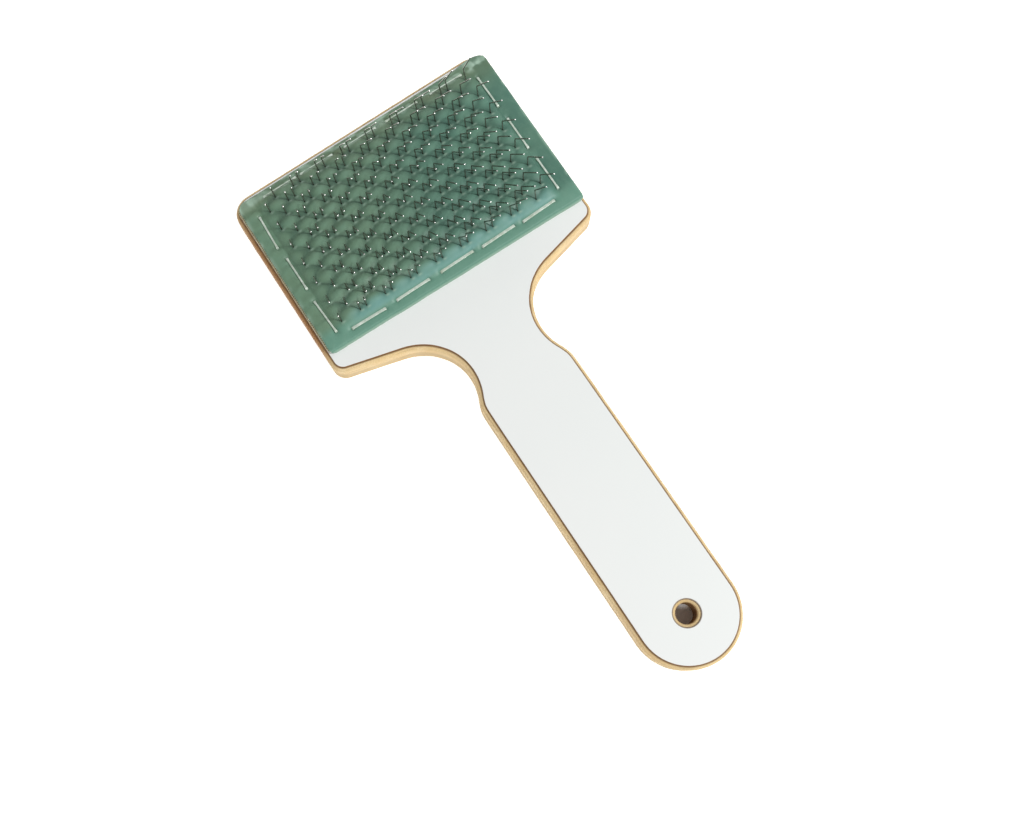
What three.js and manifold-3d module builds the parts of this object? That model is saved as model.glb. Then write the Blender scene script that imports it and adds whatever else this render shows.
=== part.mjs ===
// Slicker brush: a flat routed board with a stapled, cushioned card-cloth pad of bent wire pins.
// Millimetres, +Z up. The brush lies on its back with the pins pointing up. X runs across the head, +Y from the
// hanging hole towards the head. The origin is under the middle of the whole brush, on the plane of the back.
import * as THREE from "three";
import { mergeVertices } from "three/addons/utils/BufferGeometryUtils.js";
import Module from "manifold-3d";

const wasm = await Module();
wasm.setup();

// ---------------------------------------------------------------- driving dimensions
const Y0 = -84.45; // centre of the hanging hole; outline points below are measured from it
const BOARD_T = 9.5; // whole thickness of the board with both laminates
const LAM_T = 0.5; // thickness of each laminate
const GAP = 0.15; // clearance between pieces that touch
const ROUND = 1.4; // round-over along both rims of the board
const HANDLE_HALF = 15.3; // half width of the flat face of the handle
const HEAD_HALF = 46.8; // half width of the flat face of the head
const HEAD_TOP = 184.1; // upper edge of the flat face of the head
const TOP_R = 5.0; // upper corners of the head
const LOW_R = 3.2; // lower corners of the head
const HOLE_R = 3.2; // bore of the hanging hole
const HOLE_RIM_R = 4.35; // countersunk rim of the hanging hole
const HOLE_RIM_DEPTH = 1.3;

const PAD_X0 = -46.3; // edges of the card cloth
const PAD_X1 = 47.8;
const PAD_Y0 = 124.0;
const PAD_Y1 = 183.8;
const CARD_T = 0.65; // woven backing of the card cloth
const RUBBER_T = 0.9; // rubber face of the card cloth
const CROWN = 2.2; // rise of the cushion in the middle
const CROWN_HALF = 27.5; // half height over which the cushion rises
const ROWS = 14; // rows of pins
const ROW_TOP = 178.6; // first row, next to the head's upper edge
const ROW_PITCH = 3.6;
const STAGGER_A = 2.1; // middle of the even rows
const STAGGER_B = -1.9; // middle of the odd rows
const PAIRS = 8; // bent wires in a row, each with two legs
const PAIR_PITCH = 9.35;
const WIRE_CROWN = 6.9; // distance between the two legs of a wire
const WIRE_R = 0.2;
const BAR = 0.4; // crown line of a row, behind the card cloth
const KNEE_UP = 4.0; // knee above the rubber
const KNEE_Y = 0.3;
const TIP_UP = 12.5; // tip above the rubber
const TIP_Y = -5.5;
const ROW_LEAN = [17, 6, 5, 3.5, 3, 1.5, 0.5, 0, -0.5, -0.5, -0.5, -0.5, 2, 9]; // each row's lean away from the handle, degrees
const FAN_X = 0.026; // the legs open sideways by this much per millimetre off the middle, over their height
const SLOT_W = 1.5;
const SLOT_HALF = 39.3;

const STAPLE_CROWN = 12.7;
const STAPLE_W = 0.6;
const STAPLE_H = 0.4;
const STAPLE_LEG = 5.4; // below the crown
const STAPLE_HOLE = 1.2;
const STAPLE_SIDE_X = [-41.8, 42.2];
const STAPLE_SIDE_Y = [[169.6, 152.9, 135.9], [171.5, 154.1, 137.4]];
const STAPLE_ROW_Y = [181.2, 128.1];
const STAPLE_ROW_X = [[-31.2, -17.3, -0.7, 15.1, 32.2], [-30.4, -13.9, 2.5, 17.9, 33.1]];

const Z_CORE0 = LAM_T + GAP;
const Z_CORE1 = BOARD_T - LAM_T - GAP;
const Z_CARD = BOARD_T + GAP; // underside of the card cloth at its rim
const Z_RUBBER = Z_CARD + CARD_T + GAP;
const ROW_MID = ROW_TOP - (ROW_PITCH * (ROWS - 1)) / 2;

// ---------------------------------------------------------------- helpers
const material = (color, roughness, metalness) => new THREE.MeshStandardMaterial({ color, roughness, metalness });
const mats = {
  core: material(0xd2a566, 0.72, 0),
  white: material(0xecefed, 0.35, 0),
  foam: material(0xcfcab8, 0.95, 0),
  card: material(0xb9ad8e, 0.9, 0),
  rubber: material(0x54887a, 0.32, 0),
  wire: material(0x9a9d9c, 0.28, 1),
  staple: material(0xc6ccc8, 0.35, 1),
};

function solid(geometry) {
  let g = geometry.clone();
  g.deleteAttribute("normal");
  g.deleteAttribute("uv");
  g = mergeVertices(g, 1e-5);
  const vertProperties = new Float32Array(g.attributes.position.array);
  const triVerts = new Uint32Array(g.index.array);
  const m = new wasm.Mesh({ numProp: 3, vertProperties, triVerts });
  m.merge();
  return new wasm.Manifold(m);
}

function geometryOf(man) {
  const m = man.getMesh();
  const g = new THREE.BufferGeometry();
  const p = new Float32Array((m.vertProperties.length / m.numProp) * 3);
  for (let i = 0; i < p.length / 3; i++) for (let k = 0; k < 3; k++) p[3 * i + k] = m.vertProperties[i * m.numProp + k];
  g.setAttribute("position", new THREE.BufferAttribute(p, 3));
  g.setIndex(new THREE.BufferAttribute(new Uint32Array(m.triVerts), 1));
  g.computeVertexNormals();
  return g;
}

function joined(list) {
  let out = list[0];
  for (const m of list.slice(1)) out = out.add(m);
  return out;
}

function boxAt(x0, x1, y0, y1, z0, z1) {
  const g = new THREE.BoxGeometry(x1 - x0, y1 - y0, z1 - z0);
  g.translate((x0 + x1) / 2, (y0 + y1) / 2, (z0 + z1) / 2);
  return g;
}

const root = new THREE.Group();
function put(name, geometry, mat, parent = root) {
  const mesh = new THREE.Mesh(geometry, mat);
  mesh.name = name;
  parent.add(mesh);
  return mesh;
}

// ---------------------------------------------------------------- outline of the flat face (the board grows by ROUND)
// right half from the handle's round end up to the head, then mirrored
function faceOutline() {
  const right = [];
  const cy = 0.1;
  for (let i = 0; i <= 12; i++) {
    const a = -Math.PI / 2 + (i / 12) * (Math.PI / 2);
    right.push([HANDLE_HALF * Math.cos(a), cy + HANDLE_HALF * Math.sin(a)]);
  }
  right[0][0] = 0;
  // handle, waist and shoulder
  const waist = new THREE.SplineCurve(
    [[15.3, 40], [15.28, 70], [15.24, 80], [15.1, 84.2], [14.35, 86.8], [13.02, 90], [12.15, 93.6], [12.0, 97.6],
     [12.75, 101.6], [14.6, 105.7], [17.85, 109.7], [21.4, 112.35], [25.1, 114.05], [30.2, 115.43], [35, 116.65]]
      .map(([x, y]) => new THREE.Vector2(x, y)));
  for (const p of waist.getPoints(32)) right.push([p.x, p.y]);
  // lower corner of the head: shoulder line at 14.3 degrees, then a round corner into the straight side
  const slope = Math.atan2(1.28, 5);
  const sx = HEAD_HALF - LOW_R; // centre of the corner arc
  const yLine = (x) => 116.65 + (x - 35) * Math.tan(slope);
  const a0 = -Math.PI / 2 + slope;
  const ccy = yLine(sx + LOW_R * Math.cos(a0)) - LOW_R * Math.sin(a0);
  for (let i = 0; i <= 6; i++) {
    const a = a0 + (i / 6) * (0 - a0);
    right.push([sx + LOW_R * Math.cos(a), ccy + LOW_R * Math.sin(a)]);
  }
  for (let i = 0; i <= 6; i++) {
    const a = (i / 6) * (Math.PI / 2);
    right.push([HEAD_HALF - TOP_R + TOP_R * Math.cos(a), HEAD_TOP - TOP_R + TOP_R * Math.sin(a)]);
  }
  const left = right.slice(1).reverse().map(([x, y]) => [-x, y]);
  return [...right, ...left].map(([x, y]) => new THREE.Vector2(x, y + Y0));
}
const face = faceOutline();

// countersunk bore through the whole board, as a turned cutter
function holeCutter(grow) {
  const r = HOLE_R + grow, rr = HOLE_RIM_R + grow, d = HOLE_RIM_DEPTH;
  const top = BOARD_T + 1;
  const pts = [[0, -1], [rr, -1], [rr, 0], [r + 0.25, d * 0.45], [r, d], [r, BOARD_T - d], [r + 0.25, BOARD_T - d * 0.45],
    [rr, BOARD_T], [rr, top], [0, top]].map(([x, y]) => new THREE.Vector2(x, y));
  const g = new THREE.LatheGeometry(pts, 20);
  g.rotateX(Math.PI / 2);
  g.translate(0, Y0, 0);
  return solid(g);
}

// ---------------------------------------------------------------- staple places: [name, x, y, along X?]
const staples = [];
STAPLE_SIDE_Y[0].forEach((y, i) => staples.push([`staple_left_${i + 1}`, STAPLE_SIDE_X[0], y, false]));
STAPLE_SIDE_Y[1].forEach((y, i) => staples.push([`staple_right_${i + 1}`, STAPLE_SIDE_X[1], y, false]));
STAPLE_ROW_X[0].forEach((x, i) => staples.push([`staple_top_${i + 1}`, x, STAPLE_ROW_Y[0], true]));
STAPLE_ROW_X[1].forEach((x, i) => staples.push([`staple_bottom_${i + 1}`, x, STAPLE_ROW_Y[1], true]));
const stapleFeet = [];
for (const [, x, y, along] of staples) {
  const d = (STAPLE_CROWN - STAPLE_W) / 2;
  for (const s of [-1, 1]) stapleFeet.push(along ? [x + s * d, y + Y0] : [x, y + s * d + Y0]);
}
const footHoles = (z0, z1) => joined(stapleFeet.map(([x, y]) =>
  solid(boxAt(x - STAPLE_HOLE / 2, x + STAPLE_HOLE / 2, y - STAPLE_HOLE / 2, y + STAPLE_HOLE / 2, z0, z1))));

// ---------------------------------------------------------------- board core and laminates
{
  const shape = new THREE.Shape(face);
  const t = Z_CORE1 - Z_CORE0;
  const g = new THREE.ExtrudeGeometry(shape, {
    depth: t - 2 * ROUND, bevelEnabled: true, bevelThickness: ROUND, bevelSize: ROUND, bevelSegments: 2, steps: 1, curveSegments: 1 });
  g.translate(0, 0, Z_CORE0 + ROUND);
  const core = solid(g).subtract(holeCutter(0)).subtract(footHoles(5.4, BOARD_T));
  put("board_core", geometryOf(core), mats.core);
  for (const [name, z, holes] of [["front_laminate", BOARD_T - LAM_T, true], ["back_laminate", 0, false]]) {
    const s = new THREE.ExtrudeGeometry(new THREE.Shape(face), { depth: LAM_T, bevelEnabled: false, steps: 1, curveSegments: 1 });
    s.translate(0, 0, z);
    let m = solid(s).subtract(holeCutter(0));
    if (holes) m = m.subtract(footHoles(z - 1, z + LAM_T + 1));
    put(name, geometryOf(m), mats.white);
  }
}

// ---------------------------------------------------------------- cushion, card cloth, rubber face
const crownY = (y) => { // y from the hole's centre
  const t = (y - ROW_MID) / CROWN_HALF;
  return CROWN * Math.max(0, 1 - t * t * t * t);
};
const rowY = (i) => ROW_TOP - i * ROW_PITCH;
const rowLean = (i) => (ROW_LEAN[i] * Math.PI) / 180;

// crown line of a row's wires: offset from the place where its legs leave the rubber
const BAR_UP = Z_RUBBER + RUBBER_T - Z_CARD + 0.45;
const LEAN = KNEE_Y / KNEE_UP;
function barOffset(i) {
  const t = rowLean(i);
  return [-LEAN * BAR_UP * Math.cos(t) - BAR_UP * Math.sin(t), LEAN * BAR_UP * Math.sin(t) - BAR_UP * Math.cos(t)];
}

{ // foam: extruded along X, its top follows the crown, with a groove under each row's wires; it ends inside the outer rows
  const pts = [];
  const y0 = rowY(ROWS - 2) - 1.3, y1 = rowY(1) + 1.3;
  pts.push([y0, BOARD_T + GAP]);
  pts.push([y1, BOARD_T + GAP]);
  const top = (y) => Z_CARD + crownY(y) - 0.2;
  pts.push([y1, top(y1)]);
  for (let i = 1; i < ROWS - 1; i++) {
    const y = rowY(i) + barOffset(i)[0];
    const z = Z_CARD + crownY(rowY(i)) - 1.1;
    pts.push([y + 0.7, top(y + 0.7)], [y + 0.7, z], [y - 0.7, z], [y - 0.7, top(y - 0.7)]);
  }
  pts.push([y0, top(y0)]);
  const s = new THREE.Shape(pts.map(([y, z]) => new THREE.Vector2(y, z)));
  const g = new THREE.ExtrudeGeometry(s, { depth: 78, bevelEnabled: false, steps: 1 });
  // shape x -> Y, shape y -> Z, depth -> X
  g.applyMatrix4(new THREE.Matrix4().set(0, 0, 1, -39, 1, 0, 0, Y0, 0, 1, 0, 0, 0, 0, 0, 1));
  put("foam_cushion", geometryOf(solid(g)), mats.foam);
}

function crownedSheet(z, t) {
  const xs = [PAD_X0, -41.0, -39.7, 39.7, 41.2, PAD_X1];
  const ys = [PAD_Y0, 128.8, 129.9];
  for (let i = ROWS - 2; i >= 0; i--) ys.push((rowY(i) + rowY(i + 1)) / 2);
  ys.push(179.8, 180.7, PAD_Y1);
  // a plane draped over the cushion, then given its thickness straight up, so stacked sheets keep their clearance
  const nx = xs.length, ny = ys.length;
  const plane = new THREE.PlaneGeometry(1, 1, nx - 1, ny - 1);
  const p = plane.attributes.position, n = p.count;
  const verts = new Float32Array(n * 6);
  for (let i = 0; i < n; i++) {
    const xi = Math.round((p.getX(i) + 0.5) * (nx - 1));
    const yi = Math.round((p.getY(i) + 0.5) * (ny - 1));
    const x = xs[xi], y = ys[yi];
    const high = xi >= 2 && xi <= nx - 3 && yi >= 2 && yi <= ny - 3;
    const h = z + (high ? crownY(y) : 0);
    verts.set([x, y + Y0, h + t], 3 * i);
    verts.set([x, y + Y0, h], 3 * (n + i));
  }
  const idx = [];
  const src = plane.index.array;
  for (let i = 0; i < src.length; i += 3) {
    idx.push(src[i], src[i + 1], src[i + 2]);
    idx.push(n + src[i], n + src[i + 2], n + src[i + 1]);
  }
  const rim = [];
  for (let i = 0; i < nx - 1; i++) rim.push(i);
  for (let j = 0; j < ny - 1; j++) rim.push(j * nx + nx - 1);
  for (let i = nx - 1; i > 0; i--) rim.push((ny - 1) * nx + i);
  for (let j = ny - 1; j > 0; j--) rim.push(j * nx);
  rim.forEach((v, k) => {
    const w = rim[(k + 1) % rim.length];
    idx.push(v, w, n + w, v, n + w, n + v);
  });
  const g = new THREE.BufferGeometry();
  g.setAttribute("position", new THREE.BufferAttribute(verts, 3));
  g.setIndex(idx);
  let m = solid(g);
  const slots = [];
  for (let i = 0; i < ROWS; i++) {
    const y = rowY(i) + Y0 + slotShift(i);
    const c = i % 2 ? STAGGER_B : STAGGER_A;
    const h = (PAIR_PITCH * (PAIRS - 1) + WIRE_CROWN) / 2 + 0.75;
    slots.push(solid(boxAt(c - h, c + h, y - SLOT_W / 2, y + SLOT_W / 2, z - 2, z + 8)));
  }
  m = m.subtract(joined(slots)).subtract(footHoles(z - 1, z + 6));
  return geometryOf(m);
}
function slotShift(i) { // where the legs cross the card cloth, halfway up
  return -0.07 - 0.9 * Math.tan(rowLean(i));
}
put("card_foundation", crownedSheet(Z_CARD, CARD_T), mats.card);
put("rubber_face", crownedSheet(Z_RUBBER, RUBBER_T), mats.rubber);

// ---------------------------------------------------------------- rows of bent pins
// Each row leans by its own angle about the line where its legs leave the rubber.
function legGeometry(x, fan) {
  const up = BAR_UP, lean = LEAN;
  const pts = [
    [x, -lean * up, 0],
    [x + fan * KNEE_UP * 0.1, KNEE_Y, up + KNEE_UP],
    [x + fan * TIP_UP, TIP_Y, up + TIP_UP],
  ].map((p) => new THREE.Vector3(...p));
  // a four-sided rod with one ring at its foot, one at the knee and one at the tip
  const g = new THREE.CylinderGeometry(WIRE_R, WIRE_R, 1, 4, 2);
  const p = g.attributes.position;
  for (let i = 0; i < p.count; i++) {
    const c = pts[Math.round((p.getY(i) + 0.5) * 2)];
    p.setXYZ(i, c.x + p.getZ(i), c.y + p.getX(i), c.z);
  }
  return [g];
}

for (let i = 0; i < ROWS; i++) {
  const y = rowY(i);
  const tilt = rowLean(i);
  const up = BAR_UP;
  const centre = i % 2 ? STAGGER_B : STAGGER_A;
  const half = (PAIR_PITCH * (PAIRS - 1) + WIRE_CROWN) / 2;
  const lean = LEAN;
  const parts = [];
  const bar = boxAt(centre - half - BAR / 2, centre + half + BAR / 2, -BAR / 2 - lean * up, BAR / 2 - lean * up, -BAR / 2, BAR / 2);
  parts.push(solid(bar));
  for (let k = 0; k < PAIRS; k++) {
    const c = centre + (k - (PAIRS - 1) / 2) * PAIR_PITCH;
    for (const s of [-1, 1]) {
      const x = c + (s * WIRE_CROWN) / 2;
      for (const g of legGeometry(x, FAN_X * x / TIP_UP * 1.0)) parts.push(solid(g));
    }
  }
  // the row is tilted about the line where its legs leave the rubber
  const m = joined(parts);
  const g = geometryOf(m);
  g.translate(0, 0, -up);
  g.rotateX(-tilt);
  g.translate(0, y + Y0, Z_RUBBER + RUBBER_T + crownY(y));
  put(`pin_row_${String(i + 1).padStart(2, "0")}`, g, mats.wire);
}

// ---------------------------------------------------------------- staples
for (const [name, x, y, along] of staples) {
  const h = STAPLE_CROWN / 2, w = STAPLE_W, z1 = Z_RUBBER + RUBBER_T + GAP + STAPLE_H, z0 = z1 - STAPLE_H;
  const s = new THREE.Shape([[-h, z0 - STAPLE_LEG], [-h + w * 0.5, z0 - STAPLE_LEG - 0.6], [-h + w, z0 - STAPLE_LEG], [-h + w, z0], [h - w, z0],
    [h - w, z0 - STAPLE_LEG], [h - w * 0.5, z0 - STAPLE_LEG - 0.6], [h, z0 - STAPLE_LEG], [h, z1 - 0.15], [h - 0.2, z1], [-h + 0.2, z1], [-h, z1 - 0.15]]
    .map((p) => new THREE.Vector2(...p)));
  const g = new THREE.ExtrudeGeometry(s, { depth: w, bevelEnabled: false, steps: 1 });
  g.translate(0, 0, -w / 2);
  g.rotateX(Math.PI / 2);
  if (!along) g.rotateZ(Math.PI / 2);
  g.translate(x, y + Y0, 0);
  put(name, g, mats.staple);
}

export default root;
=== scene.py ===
import math

import bpy
import bmesh
import numpy as np
from mathutils import Matrix, Vector


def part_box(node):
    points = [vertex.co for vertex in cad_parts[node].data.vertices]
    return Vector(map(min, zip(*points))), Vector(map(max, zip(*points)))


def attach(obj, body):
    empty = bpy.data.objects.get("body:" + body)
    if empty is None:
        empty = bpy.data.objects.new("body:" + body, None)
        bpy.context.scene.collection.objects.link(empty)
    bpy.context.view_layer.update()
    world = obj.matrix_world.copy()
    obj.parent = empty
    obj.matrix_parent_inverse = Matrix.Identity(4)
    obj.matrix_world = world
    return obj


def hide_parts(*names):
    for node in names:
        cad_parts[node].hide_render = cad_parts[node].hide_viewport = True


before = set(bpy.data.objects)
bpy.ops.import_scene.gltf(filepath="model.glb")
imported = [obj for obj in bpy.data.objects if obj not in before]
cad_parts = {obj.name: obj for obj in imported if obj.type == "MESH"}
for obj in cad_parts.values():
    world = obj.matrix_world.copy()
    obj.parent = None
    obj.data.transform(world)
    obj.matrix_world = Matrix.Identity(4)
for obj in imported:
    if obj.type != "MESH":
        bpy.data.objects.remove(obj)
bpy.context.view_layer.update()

MM = 0.001
rng = np.random.RandomState(1187)

# ------------------------------------------------------------------ sizes that the CAD source also has (mm)
BOARD_T = 9.5
LAM_T = 0.5
ROUND = 1.4
HANDLE_HALF, HEAD_HALF, HEAD_TOP, TOP_R, LOW_R = 15.3, 46.8, 184.1, 5.0, 3.2
HOLE_R, HOLE_RIM_R = 3.2, 4.35
PAD_X0, PAD_X1, PAD_Y0, PAD_Y1 = -46.3, 47.8, 124.0, 183.8
ROWS, ROW_TOP, ROW_PITCH = 14, 178.6, 3.6
ROW_LEAN = (17, 6, 5, 3.5, 3, 1.5, 0.5, 0, -0.5, -0.5, -0.5, -0.5, 2, 9)
STAGGER = (2.1, -1.9)
PAIRS, PAIR_PITCH, WIRE_CROWN = 8, 9.35, 6.9
KNEE_UP, KNEE_Y, TIP_UP, TIP_Y, FAN_X = 4.0, 0.3, 12.5, -5.5, 0.026
CROWN, CROWN_HALF = 2.2, 27.5
ROW_MID = ROW_TOP - ROW_PITCH * (ROWS - 1) / 2
# the frame says where the board is: outline points are measured from the hanging hole
_b0, _b1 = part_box("board_core")
Y0 = _b0.y / MM - (0.1 - HANDLE_HALF - ROUND)
SURF0 = 11.35  # CAD surface of the rubber where the cushion is flat, above the board's back
T_RUB, T_CLOTH = 0.95, 0.6


# ------------------------------------------------------------------ mesh helpers
def new_object(name, verts, faces, smooth=True, mats=()):
    me = bpy.data.meshes.new(name)
    me.from_pydata([tuple(v) for v in np.asarray(verts, float) * MM], [], [tuple(int(i) for i in f) for f in faces])
    me.update()
    ob = bpy.data.objects.new(name, me)
    bpy.context.scene.collection.objects.link(ob)
    for m in mats:
        me.materials.append(m)
    if smooth:
        me.polygons.foreach_set("use_smooth", [True] * len(me.polygons))
    return ob


def coords(ob):
    co = np.zeros(len(ob.data.vertices) * 3)
    ob.data.vertices.foreach_get("co", co)
    return co.reshape(-1, 3) / MM


def set_attr(ob, name, values):
    a = ob.data.attributes.get(name) or ob.data.attributes.new(name, "FLOAT", "POINT")
    a.data.foreach_set("value", np.asarray(values, np.float32))


def smoothstep(a, b, x):
    t = np.clip((x - a) / (b - a), 0, 1)
    return t * t * (3 - 2 * t)


class Noise2:
    """Smooth value noise on a plane, from seeded numbers."""

    def __init__(self, seed, n=256):
        self.t = np.random.RandomState(seed).uniform(-1, 1, (n, n))
        self.n = n

    def __call__(self, x, y):
        x, y = np.asarray(x, float), np.asarray(y, float)
        xi, yi = np.floor(x).astype(int), np.floor(y).astype(int)
        fx, fy = x - xi, y - yi
        fx, fy = fx * fx * (3 - 2 * fx), fy * fy * (3 - 2 * fy)
        n, t = self.n, self.t
        a, b = t[xi % n, yi % n], t[(xi + 1) % n, yi % n]
        c, d = t[xi % n, (yi + 1) % n], t[(xi + 1) % n, (yi + 1) % n]
        return (a * (1 - fx) + b * fx) * (1 - fy) + (c * (1 - fx) + d * fx) * fy


# ------------------------------------------------------------------ outline of the board's flat face
def catmull(points, n):
    p = np.array(points, float)
    out = []
    for i in range(n + 1):
        t = i / n * (len(p) - 1)
        k = min(int(t), len(p) - 2)
        w = t - k
        a, b, c, d = p[max(k - 1, 0)], p[k], p[k + 1], p[min(k + 2, len(p) - 1)]
        if k == 0:
            a = p[0]
        v0, v1 = (c - a) / 2, (d - b) / 2
        out.append((2 * b - 2 * c + v0 + v1) * w**3 + (-3 * b + 3 * c - 2 * v0 - v1) * w**2 + v0 * w + b)
    return np.array(out)


def face_outline(step=0.45):
    right = []
    for i in range(61):
        a = -math.pi / 2 + i / 60 * math.pi / 2
        right.append((HANDLE_HALF * math.cos(a), 0.1 + HANDLE_HALF * math.sin(a)))
    right += [tuple(p) for p in catmull(
        [(15.3, 40), (15.28, 70), (15.24, 80), (15.1, 84.2), (14.35, 86.8), (13.02, 90), (12.15, 93.6), (12.0, 97.6),
         (12.75, 101.6), (14.6, 105.7), (17.85, 109.7), (21.4, 112.35), (25.1, 114.05), (30.2, 115.43), (35, 116.65)], 260)]
    slope = math.atan2(1.28, 5)
    sx = HEAD_HALF - LOW_R
    a0 = -math.pi / 2 + slope
    yl = 116.65 + (sx + LOW_R * math.cos(a0) - 35) * math.tan(slope)
    cy = yl - LOW_R * math.sin(a0)
    for i in range(25):
        a = a0 * (1 - i / 24)
        right.append((sx + LOW_R * math.cos(a), cy + LOW_R * math.sin(a)))
    for i in range(25):
        a = i / 24 * math.pi / 2
        right.append((HEAD_HALF - TOP_R + TOP_R * math.cos(a), HEAD_TOP - TOP_R + TOP_R * math.sin(a)))
    right = np.array(right)
    loop = np.vstack([right, (right * [-1, 1])[::-1][:-1]])
    seg = np.hypot(*np.diff(np.vstack([loop, loop[:1]]), axis=0).T)
    loop = loop[seg > 1e-4]
    closed = np.vstack([loop, loop[:1]])
    s = np.r_[0, np.cumsum(np.hypot(*np.diff(closed, axis=0).T))]
    n = int(s[-1] / step)
    u = np.linspace(0, s[-1], n, endpoint=False)
    pts = np.c_[np.interp(u, s, closed[:, 0]), np.interp(u, s, closed[:, 1])]
    t = np.roll(pts, -1, 0) - np.roll(pts, 1, 0)
    t /= np.hypot(*t.T)[:, None]
    nrm = np.c_[t[:, 1], -t[:, 0]]
    k = np.array([0.25, 0.5, 0.25])
    nrm = k[0] * np.roll(nrm, 1, 0) + k[1] * nrm + k[2] * np.roll(nrm, -1, 0)
    nrm /= np.hypot(*nrm.T)[:, None]
    # the head's top edge isn't quite square to the handle: it rises towards the right-hand corner
    pts[:, 1] += (0.70 + 0.0145 * pts[:, 0]) * smoothstep(166, 181, pts[:, 1])
    return pts + [0, Y0], nrm, u


OUT_P, OUT_N, OUT_S = face_outline()


def slab(name, profile, hole, mats, waver=None):
    """A slab whose rim follows the outline: profile is (outward offset, z) from the lower face's edge to the upper face's edge,
    hole the same as (radius, z) from the lower face to the upper face."""
    n = len(OUT_P)
    verts, faces = [], []
    for j, (o, z) in enumerate(profile):
        extra = waver(OUT_S, z) if waver is not None and 0 < j < len(profile) - 1 else 0.0
        p = OUT_P + OUT_N * (o + extra)[:, None] if waver is not None and 0 < j < len(profile) - 1 else OUT_P + OUT_N * o
        verts.append(np.c_[p, np.full(n, z)])
    for j in range(len(profile) - 1):
        a, b = j * n, (j + 1) * n
        for i in range(n):
            k = (i + 1) % n
            faces.append((a + i, a + k, b + k, b + i))
    base = len(profile) * n
    m = 72
    ang = np.arange(m) / m * 2 * math.pi
    for r, z in hole:
        verts.append(np.c_[r * np.cos(ang), Y0 + r * np.sin(ang), np.full(m, z)])
    for j in range(len(hole) - 1):
        a, b = base + j * m, base + (j + 1) * m
        for i in range(m):
            k = (i + 1) % m
            faces.append((a + k, a + i, b + i, b + k))
    ob = new_object(name, np.vstack(verts), faces, mats=mats)
    bm = bmesh.new()
    bm.from_mesh(ob.data)
    bm.verts.ensure_lookup_table()

    def loop_edges(start, count):
        return [bm.edges.get((bm.verts[start + i], bm.verts[start + (i + 1) % count])) for i in range(count)]

    top = loop_edges((len(profile) - 1) * n, n) + loop_edges(base + (len(hole) - 1) * m, m)
    low = loop_edges(0, n) + loop_edges(base, m)
    for es in (top, low):
        bmesh.ops.triangle_fill(bm, use_beauty=True, use_dissolve=False, edges=es)
    bmesh.ops.recalc_face_normals(bm, faces=bm.faces)
    for f in bm.faces:
        f.smooth = abs(f.normal.z) < 0.999
    bm.to_mesh(ob.data)
    bm.free()
    return ob


# ------------------------------------------------------------------ materials
def srgb(r, g, b):
    f = lambda c: c / 12.92 if c <= 0.04045 else ((c + 0.055) / 1.055) ** 2.4
    return (f(r / 255), f(g / 255), f(b / 255), 1.0)


class Mat:
    def __init__(self, name):
        self.m = bpy.data.materials.new(name)
        self.m.use_nodes = True
        self.t = self.m.node_tree
        self.b = self.t.nodes["Principled BSDF"]

    def node(self, kind, **kw):
        n = self.t.nodes.new(kind)
        for k, v in kw.items():
            setattr(n, k, v)
        return n

    def link(self, a, b):
        self.t.links.new(a, b)

    def coord(self, scale=(1, 1, 1), kind="Object"):
        c = self.node("ShaderNodeTexCoord")
        mp = self.node("ShaderNodeMapping")
        mp.inputs["Scale"].default_value = scale
        self.link(c.outputs[kind], mp.inputs["Vector"])
        return mp.outputs["Vector"]

    def noise(self, scale, detail=3.0, rough=0.5, vec=None, dist=0.0):
        n = self.node("ShaderNodeTexNoise")
        n.inputs["Scale"].default_value = scale
        n.inputs["Detail"].default_value = detail
        n.inputs["Roughness"].default_value = rough
        n.inputs["Distortion"].default_value = dist
        self.link(vec if vec is not None else self.coord(), n.inputs["Vector"])
        return n.outputs["Fac"]

    def ramp(self, fac, stops, interp="LINEAR"):
        r = self.node("ShaderNodeValToRGB")
        r.color_ramp.interpolation = interp
        e = r.color_ramp.elements
        while len(e) < len(stops):
            e.new(0.5)
        for k, (p, c) in enumerate(stops):
            e[k].position = p
            e[k].color = c if hasattr(c, "__len__") else (c, c, c, 1)
        self.link(fac, r.inputs["Fac"])
        return r.outputs["Color"]

    def mix(self, fac, a, b, mode="MIX"):
        n = self.node("ShaderNodeMix", data_type="RGBA", blend_type=mode)
        for sock, v in ((n.inputs["Factor"], fac), (n.inputs["A"], a), (n.inputs["B"], b)):
            pass
        ins = {"f": n.inputs[0], "a": n.inputs[6], "b": n.inputs[7]}
        for k, v in (("f", fac), ("a", a), ("b", b)):
            if hasattr(v, "links") or isinstance(v, bpy.types.NodeSocket):
                self.link(v, ins[k])
            else:
                ins[k].default_value = v
        return n.outputs[2]

    def math(self, op, a, b=0.0):
        n = self.node("ShaderNodeMath", operation=op)
        for k, v in enumerate((a, b)):
            if isinstance(v, bpy.types.NodeSocket):
                self.link(v, n.inputs[k])
            else:
                n.inputs[k].default_value = v
        return n.outputs[0]

    def attr(self, name):
        return self.node("ShaderNodeAttribute", attribute_name=name).outputs["Fac"]

    def bump(self, height, strength, distance, normal=None):
        n = self.node("ShaderNodeBump")
        n.inputs["Strength"].default_value = strength
        n.inputs["Distance"].default_value = distance
        self.link(height, n.inputs["Height"])
        if normal is not None:
            self.link(normal, n.inputs["Normal"])
        return n.outputs["Normal"]

    def set(self, **kw):
        for k, v in kw.items():
            s = self.b.inputs[k.replace("_", " ")]
            if isinstance(v, bpy.types.NodeSocket):
                self.link(v, s)
            else:
                s.default_value = v


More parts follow.
